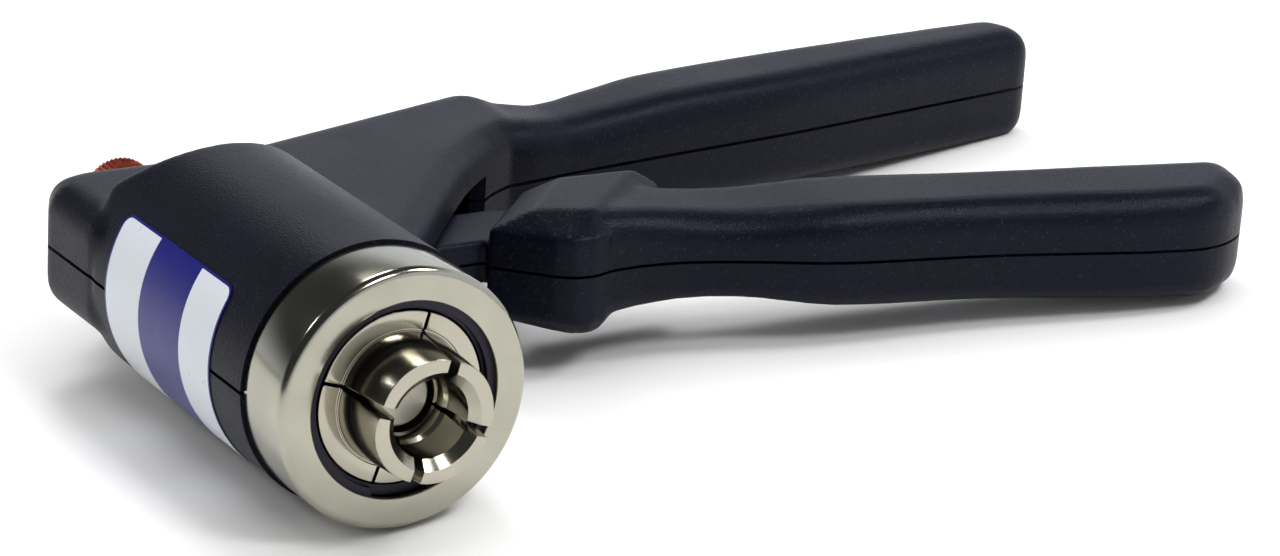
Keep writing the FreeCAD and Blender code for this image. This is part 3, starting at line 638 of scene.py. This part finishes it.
# %% Build the lever's form
LEVER_ORIGIN = (121.2, 36.5, 0)
LEVER_ANGLE = -16.5
LEVER_RUN = [(-75, 8.0, 5.0, 7.0), (-68.5, 13.0, 9.0, 8.8), (-64, 11.2, 9.7, 8.8),
             (-59.5, 9.7, 9.8, 8.3), (-52, 8.6, 10.2, 7.6), (-42, 9.2, 10.4, 7.3),
             (-26, 11.2, 10.5, 8.6), (0, 10.0, 10.5, 8.8), (26, 10.7, 10.5, 9.3),
             (56, 9.2, 10.2, 9.9)]
LEVER_CUTS = [((38.6, -10.4, 0), (13.4, -8.8, 0)), ((47.4, 3.0, 0), (1, 0, 0))]
LEVER_BLOCK = [(38.7, 52.8), (46.4, 44.9), (49.2, 43.1), (52.4, 42.7), (55.4, 43.6),
               (57.6, 45.6), (76.0, 62.4), (52.4, 66.9)]
UPPER_FACET = [(45.5, 51.2), (50.4, 49.2), (52.2, 48.4), (53.8, 47.8), (55.4, 48.2),
               (56.4, 49.2), (71.2, 62.8), (57.6, 63.6)]
LOWER_FACET = [(44.2, 53.6), (48.6, 46.4), (50.2, 44.8), (52.4, 44.0), (54.6, 44.8),
               (56.6, 46.6), (72.2, 61.8), (56.6, 64.2)]
NECK = [(27.5, 54.7), (52, 54.7), (52, 66.5), (48, 68.6), (27.5, 68.6)]
NECK_HALF = 3.6
NECK_EDGE = 0.8
UPPER_LEVELS = (6.2, 9.3)
LOWER_LEVELS = (-7.6, -10.0)


def move_corner(piece, start, end):
    """Moves the one vertex at a place to another place."""
    alone(piece)
    bpy.ops.object.mode_set(mode="EDIT")
    bpy.ops.mesh.select_all(action="DESELECT")
    bpy.ops.object.mode_set(mode="OBJECT")
    for vertex in piece.data.vertices:
        vertex.select = (vertex.co - Vector(start) * MM).length < 0.02 * MM
    bpy.ops.object.mode_set(mode="EDIT")
    bpy.ops.transform.translate(value=(Vector(end) - Vector(start)) * MM)
    bpy.ops.object.mode_set(mode="OBJECT")


def facet_block():
    """Prism between the shoulders, with a sloped cap above and below."""
    block = traced("lever_block", LEVER_BLOCK, LOWER_LEVELS[0], UPPER_LEVELS[0])
    for facet, (shoulder, flat) in ((UPPER_FACET, UPPER_LEVELS), (LOWER_FACET, LOWER_LEVELS)):
        cap = traced("cap", LEVER_BLOCK, min(shoulder, flat), max(shoulder, flat))
        for corner, place in zip(LEVER_BLOCK, facet):
            move_corner(cap, (*corner, flat), (*place, flat))
        gather(block, cap)
    return block


lever_form = handle("lever_form", LEVER_RUN, LEVER_ORIGIN, LEVER_ANGLE, LEVER_CUTS)
neck = traced("neck", NECK, -NECK_HALF, NECK_HALF)
apply(neck, "BEVEL", width=NECK_EDGE * MM, segments=2, limit_method="ANGLE",
      angle_limit=math.radians(40))
gather(lever_form, facet_block(), neck)
relax(lever_form, 0.5, 5)
print("lever form:", len(lever_form.data.polygons), "faces")

# %% [markdown]
# ## Two halves for the lever
# The lever's form is cut along the seam, and both halves ride on the lever's body.

# %% Split the lever and put it on its body
LEVER_SCREWS = [(57.5, 54.8), (100.0, 42.3), (146.0, 29.2)]
LEVER_SCREW_SEAT = -5.9
LEVER_FACES_KEPT = 0.45
lever_drills = screw_drills(LEVER_SCREWS, LEVER_SCREW_SEAT)
lever_upper = half_shell(lever_form, "lever_handle_upper", 1, [], LEVER_FACES_KEPT)
seat_shell(lever_upper, "lever", "lever_shell_upper")
lever_lower = half_shell(lever_form, "lever_handle_lower", -1, lever_drills, LEVER_FACES_KEPT)
seat_shell(lever_lower, "lever", "lever_shell_lower")
for used in [lever_form] + lever_drills:
    bpy.data.objects.remove(used)

# %% [markdown]
# ## Casing
# The head's barrel, the block behind it, the web and the rigid handle are one moulding.
# The barrel is a cylinder sliced off towards the rear, the block is a traced outline with
# wide round rims, and the handle is extruded like the lever's. A remesh unites them. The
# handle's end is cut by planes that touch one arc, and the remesh softens their edges.

# %% Build the casing's form
BARREL_R = 20.5
BARREL_FRONT = 19.2
BARREL_START = 13.0
BARREL_END = 85.0
REAR_SLOPE = [(67.6, 20.5), (70.6, 17.9), (77.6, 9.3)]
LEFT_FLAT_POINT = (-20.6, 70, 0)
LEFT_FLAT_NORMAL = (-18, 4.1, 0)
BLOCK_OUTLINE = [(-18.0, 62.0), (-20.4, 72.0), (-20.6, 87.0), (-18.4, 92.0), (-13.5, 93.9),
                 (6.0, 94.1), (16.0, 95.6), (57.5, 108.3), (62.4, 109.8), (66.8, 107.8),
                 (68.6, 103.0), (67.8, 88.6), (62.0, 86.6), (57.5, 84.0), (53.5, 80.8),
                 (50.0, 77.7), (46.5, 74.2), (42.5, 69.6), (36.0, 61.8), (22.5, 45.2),
                 (8.0, 44.0), (0.0, 62.0)]
BLOCK_HALF = 10.3
BLOCK_ROUND = 4.8
CASING_ORIGIN = (60.0, 96.3, 0)
CASING_ANGLE = 6.9
CASING_RUN = [(-3, 10.0, 11.0, 10.0), (6, 10.0, 9.5, 9.7), (14, 9.6, 6.3, 8.8),
              (24, 9.6, 7.0, 9.3), (38, 9.6, 8.5, 10.1), (62, 10.0, 8.4, 10.3),
              (92, 9.3, 6.7, 10.5), (104, 9.0, 6.0, 10.5), (130, 8.2, 4.7, 10.4)]
END_CENTRE = (109.8, -3.3)
END_RADIUS = 12.9
END_ANGLES = (-4.0, 16.0, 38.0)


def end_planes():
    """Planes round the handle's end, which follow an arc from its near to its far side."""
    planes = []
    for angle in END_ANGLES:
        normal = Vector((math.cos(math.radians(angle)), math.sin(math.radians(angle)), 0))
        planes.append((Vector((*END_CENTRE, 0)) + normal * END_RADIUS, normal))
    return planes


def sliced_barrel():
    """Cylinder with its rear sliced by two planes above and two below, and one at the left."""
    barrel = rod("barrel", BARREL_R, (0, BARREL_START, 0), (0, BARREL_END, 0), steps=128)
    alone(barrel)
    bpy.ops.object.mode_set(mode="EDIT")
    for (y0, z0), (y1, z1) in zip(REAR_SLOPE, REAR_SLOPE[1:]):
        for side in (1, -1):
            bpy.ops.mesh.select_all(action="SELECT")
            bpy.ops.mesh.bisect(plane_co=(0, y0 * MM, side * z0 * MM),
                                plane_no=(0, z0 - z1, side * (y1 - y0)),
                                use_fill=True, clear_outer=True)
    bpy.ops.mesh.select_all(action="SELECT")
    bpy.ops.mesh.bisect(plane_co=Vector(LEFT_FLAT_POINT) * MM, plane_no=LEFT_FLAT_NORMAL,
                        use_fill=True, clear_outer=True)
    bpy.ops.object.mode_set(mode="OBJECT")
    return barrel


casing_form = sliced_barrel()
rear_block = traced("rear_block", BLOCK_OUTLINE, -BLOCK_HALF, BLOCK_HALF)
apply(rear_block, "BEVEL", width=BLOCK_ROUND * MM, segments=5, limit_method="ANGLE",
      angle_limit=math.radians(50), use_clamp_overlap=False)
fixed_handle = handle("fixed_handle", CASING_RUN, CASING_ORIGIN, CASING_ANGLE, end_planes())
gather(casing_form, rear_block, fixed_handle)
relax(casing_form, 0.6, 12)
print("casing form:", len(casing_form.data.polygons), "faces")

# %% [markdown]
# ## Openings of the casing
# The lever's slot, the hole for the ring's neck and the knob's hole go through both
# halves. The lower half also has four holes for the screws, which are driven from below.

# %% Split the casing, open it and put it on its body
SLOT = [(14, 56), (18, 36), (36, 36), (54.5, 75.0), (54.5, 81.6), (47, 83.5), (27, 79), (14, 79)]
SLOT_HALF = 4.2
RING_HOLE_R = 16.7
KNOB_HOLE_R = 5.05
BODY_SCREWS = [(-11.5, 84.0), (41.0, 92.6), (92.0, 99.4), (158.0, 106.2)]
BODY_SCREW_SEAT = -6.9
CASING_FACES_KEPT = 0.5
openings = [rod("front_trim", 25.0, (0, 5, 0), (0, BARREL_FRONT, 0)),
            traced("slot", SLOT, -SLOT_HALF, SLOT_HALF),
            rod("front_hole", RING_HOLE_R, (0, 10, 0), (0, 32, 0)),
            rod("rear_hole", KNOB_HOLE_R, (0, 80, 0), (0, 100, 0))]
body_drills = screw_drills(BODY_SCREWS, BODY_SCREW_SEAT)
casing_upper = half_shell(casing_form, "casing_upper", 1, openings, CASING_FACES_KEPT)
seat_shell(casing_upper, "housing", "upper_body_shell")
lower_openings = openings + body_drills
casing_lower = half_shell(casing_form, "casing_lower", -1, lower_openings, CASING_FACES_KEPT)
seat_shell(casing_lower, "housing", "lower_body_shell")
for used in [casing_form] + openings + body_drills:
    bpy.data.objects.remove(used)

# %% [markdown]
# ## Turned pieces
# The ring and the jaws are lathe work. A closed outline of radius and place along the
# axis is spun once round the head's axis, with an arc at each corner that names a radius.

# %% Tools for turned pieces
ARC_STEPS = 6


def softened(outline):
    """Outline whose corners with a third number are rounded by that radius."""
    out = []
    neighbours = zip(outline[-1:] + outline[:-1], outline, outline[1:] + outline[:1])
    for before, here, after in neighbours:
        if len(here) == 2:
            out.append(here)
            continue
        corner = Vector(here[:2])
        back = (Vector(before[:2]) - corner).normalized()
        onward = (Vector(after[:2]) - corner).normalized()
        half = back.angle(onward) / 2
        centre = corner + (back + onward).normalized() * here[2] / math.sin(half)
        first = (corner + back * here[2] / math.tan(half) - centre).normalized()
        last = (corner + onward * here[2] / math.tan(half) - centre).normalized()
        for k in range(ARC_STEPS + 1):
            out.append(tuple(centre + first.slerp(last, k / ARC_STEPS) * here[2]))
    return out


def spun(name, outline, steps=160):
    """Closed outline of radius and place along the axis, turned once round it."""
    points = softened(outline)
    bpy.ops.object.select_all(action="DESELECT")
    bpy.ops.mesh.primitive_plane_add(size=MM)
    piece = bpy.context.object
    piece.name = name
    bpy.ops.object.mode_set(mode="EDIT")
    bpy.ops.mesh.merge(type="CENTER")
    r, y = points[0]
    bpy.ops.transform.translate(value=(r * MM, y * MM, 0))
    for nr, ny in points[1:] + points[:1]:
        step = ((nr - r) * MM, (ny - y) * MM, 0)
        bpy.ops.mesh.extrude_region_move(TRANSFORM_OT_translate={"value": step})
        r, y = nr, ny
    bpy.ops.mesh.select_all(action="SELECT")
    bpy.ops.mesh.spin(steps=steps, angle=2 * math.pi, center=(0, 0, 0), axis=(0, 1, 0))
    bpy.ops.mesh.select_all(action="SELECT")
    bpy.ops.mesh.remove_doubles(threshold=0.000002)
    bpy.ops.mesh.normals_make_consistent(inside=False)
    bpy.ops.object.mode_set(mode="OBJECT")
    return piece


def dress(piece, body, node_name):
    """Smooths a piece, gives it its finish and lets it stand for its node."""
    alone(piece)
    bpy.ops.object.shade_smooth_by_angle(angle=math.radians(30))
    piece.data.materials.clear()
    piece.data.materials.append(FINISHES[NODE_SLOT[node_name]])
    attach(piece, body)
    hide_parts(node_name)
    print(piece.name, len(piece.data.polygons), "faces")


print("turning tools ready")

# %% [markdown]
# ## Front ring
# The ring's outline has a wide round at its front edge, a groove for the snap ring in
# its bore, and a neck that goes into the casing.

# %% Turn the front ring
RING = [(20.0, 19.1, 0.2), (20.0, 7.6, 1.3), (15.05, 7.6, 0.2), (15.05, 8.48), (16.02, 8.48),
        (16.02, 9.3), (15.05, 9.3), (15.05, 17.1), (13.2, 17.1), (13.2, 30.1),
        (16.6, 30.1, 0.4), (16.6, 26.5), (15.2, 26.5), (15.2, 23.0), (16.6, 23.0), (16.6, 19.1)]
RING_STEPS = 192
dress(spun("ring", RING, RING_STEPS), "housing", "front_ring")

# %% [markdown]
# ## Jaws
# One jaw is a quarter of a turned form, cut out by two planes that leave the saw's kerf.
# It is tilted open about the edge that it rocks on, set round the axis four times, and
# only then bored, because the open mouth is a true round.

# %% Make the four jaws
JAW_NOSE = [(4.0, -1.05), (8.5, -1.05, 0.2), (9.85, 9.05), (10.0, 9.05), (10.0, 9.35),
            (10.3, 9.35), (10.3, 9.05), (13.0, 9.05, 0.3), (13.0, 11.4, 0.2), (5.0, 11.4),
            (5.0, 8.45), (4.0, 8.45)]
JAW_TAIL = [(5.0, 11.3), (8.6, 11.3), (8.6, 27.0), (5.0, 27.0)]
TAIL_STEPS = 64
NOSE_EDGE = 0.1
JAWS = 4
MOUTH = [(0.0, -3.9), (9.9, -3.9), (6.0, 0.0), (6.0, 6.0), (5.5, 6.5), (5.5, 8.7), (0.0, 8.7)]
NOSE_KERF = 0.15
TAIL_KERF = 1.9
FULCRUM = Vector((11.0, 12.6, 0.0)) * MM
JAW_TILT = math.radians(4.4)
FIRST_JAW = 27.0


def quarter(piece, kerf):
    """Keeps what lies between two planes at 45 degrees, less half the kerf at each."""
    alone(piece)
    bpy.ops.object.mode_set(mode="EDIT")
    for side in (1, -1):
        bpy.ops.mesh.select_all(action="SELECT")
        bpy.ops.mesh.bisect(plane_co=(kerf / math.sqrt(2) * MM, 0, 0), plane_no=(-1, 0, side),
                            use_fill=True, clear_outer=True)
    bpy.ops.object.mode_set(mode="OBJECT")
    return piece


nose = quarter(spun("nose", JAW_NOSE), NOSE_KERF)
apply(nose, "BEVEL", width=NOSE_EDGE * MM, segments=2, limit_method="ANGLE",
      angle_limit=math.radians(50), use_clamp_overlap=False)
tail = quarter(spun("tail", JAW_TAIL, TAIL_STEPS), TAIL_KERF)
mouth = spun("mouth", MOUTH)
tilted = Matrix.Rotation(JAW_TILT, 4, "Z")
tilt = Matrix.Translation(FULCRUM) @ tilted @ Matrix.Translation(-FULCRUM)
for number in range(JAWS):
    turn = Matrix.Rotation(-math.radians(FIRST_JAW + 90.0 * number), 4, "Y")
    copies = []
    for source in (nose, tail, mouth):
        alone(source)
        bpy.ops.object.duplicate()
        copies.append(bpy.context.object)
    jaw, jaw_tail, bore = copies
    for made in (jaw, jaw_tail):
        alone(made)
        made.matrix_world = turn @ tilt
        bpy.ops.object.transform_apply(location=True, rotation=True, scale=True)
    cut_away(jaw, bore)
    unite(jaw, jaw_tail)
    jaw_node = "jaw_%d" % (number + 1)
    jaw.name = "gripping_" + jaw_node
    dress(jaw, jaw_node, jaw_node)
for used in (nose, tail, mouth):
    bpy.data.objects.remove(used)

# %% [markdown]
# ## Floor and sky
# The floor is painted plain and pale. The sky is one grey ramp by height for the light,
# another by height and side for the mirrors, and white where the camera looks at it.

# %% Paint the floor and set the sky
BACKDROP = {"From Min": 0.12, "From Max": 0.50, "To Min": 1.08, "To Max": 0.06}
BACKDROP_LEAN = 0.45
MIRRORED_TINT = (0.88, 0.92, 1.0, 1)
SKY_LOW = 0.10
SKY_RISE = 0.50


def set_floor():
    f = Finish("table_paint", Roughness=0.6)
    speck = f.noise(30.0, 2.0)
    f.set("Base Color", f.colours(speck, (0.84, 0.84, 0.84, 1), (0.88, 0.88, 0.88, 1)))
    floor.data.materials.append(f.material)


def set_sky():
    """White where the camera sees it; mirrors see a backdrop that fades up and to the left."""
    world = bpy.data.worlds.new("studio")
    bpy.context.scene.world = world
    world.use_nodes = True
    tree = world.node_tree
    sky = tree.nodes["Background"]
    path = tree.nodes.new("ShaderNodeLightPath")
    seen = Signal(tree, path.outputs["Is Camera Ray"])
    through = Signal(tree, path.outputs["Is Transmission Ray"])
    mirrored = Signal(tree, path.outputs["Is Glossy Ray"])
    direction = tree.nodes.new("ShaderNodeTexCoord")
    split = tree.nodes.new("ShaderNodeSeparateXYZ")
    tree.links.new(direction.outputs["Generated"], split.inputs[0])
    up, right = (Signal(tree, split.outputs[axis]) for axis in ("Z", "X"))
    height = up.maths("MAXIMUM", up, 0.0)
    fall = tree.nodes.new("ShaderNodeMapRange")
    fall.interpolation_type = "SMOOTHSTEP"
    for name, value in BACKDROP.items():
        fall.inputs[name].default_value = value
    tree.links.new((height - BACKDROP_LEAN * right).socket, fall.inputs["Value"])
    backdrop = Signal(tree, fall.outputs[0])
    tint = tree.nodes.new("ShaderNodeMix")
    tint.data_type = "RGBA"
    tint.inputs[6].default_value = (1, 1, 1, 1)
    tint.inputs[7].default_value = MIRRORED_TINT
    tree.links.new(mirrored.socket, tint.inputs[0])
    tree.links.new(tint.outputs[2], sky.inputs["Color"])
    plain = (SKY_LOW + SKY_RISE * height) * (1.0 - mirrored) + backdrop * mirrored
    strength = plain.maths("MAXIMUM", plain, seen + through)
    tree.links.new(strength.socket, sky.inputs["Strength"])


set_floor()
set_sky()
bpy.context.scene.view_settings.view_transform = "Standard"
print("floor and sky set")
